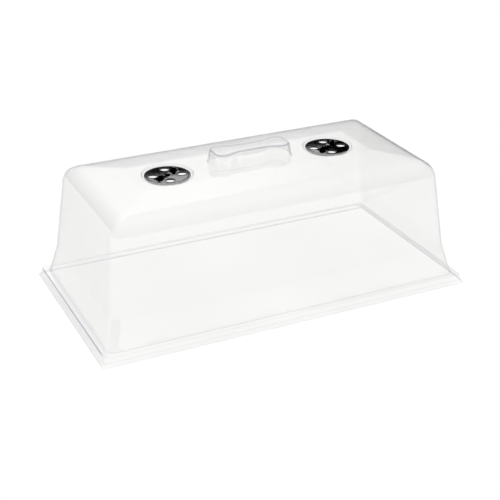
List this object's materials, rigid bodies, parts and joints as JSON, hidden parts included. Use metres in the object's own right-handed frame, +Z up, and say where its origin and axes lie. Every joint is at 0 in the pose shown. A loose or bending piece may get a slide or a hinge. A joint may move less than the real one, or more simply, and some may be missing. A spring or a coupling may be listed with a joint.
{
  "type": "humidity dome",
  "caption": "Clear formed dome for a rectangular propagation flat, with a flanged rim, low hip roof, moulded lifting handle and turning air vents.",
  "frame": {"origin": "centre of the rim's footprint, on the plane that the rim rests on", "axes": "+X to the right along the dome's length, +Y towards the back, +Z up"},
  "size_m": [0.546, 0.291, 0.205],
  "materials": {
    "clear_sheet": "clear, glossy thermoformed sheet",
    "vent_plastic": "glossy moulded black",
    "dial_plastic": "glossy moulded black",
    "rivet_plastic": "polished moulded black"
  },
  "bodies": {
    "dome": {"dome_shell": "clear_sheet", "left_vent_base": "vent_plastic", "left_vent_pivot": "rivet_plastic", "right_vent_base": "vent_plastic", "right_vent_pivot": "rivet_plastic"},
    "left_dial": {"left_vent_dial": "dial_plastic"},
    "right_dial": {"right_vent_dial": "dial_plastic"}
  },
  "joints": [
    {"name": "left_vent_turn", "type": "hinge", "parent": "dome", "child": "left_dial", "pos_m": [-0.122, 0, 0.183], "axis": [0, 0, 1], "range_deg": [0, 45]},
    {"name": "right_vent_turn", "type": "hinge", "parent": "dome", "child": "right_dial", "pos_m": [0.122, 0, 0.183], "axis": [0, 0, 1], "range_deg": [0, 45]}
  ]
}
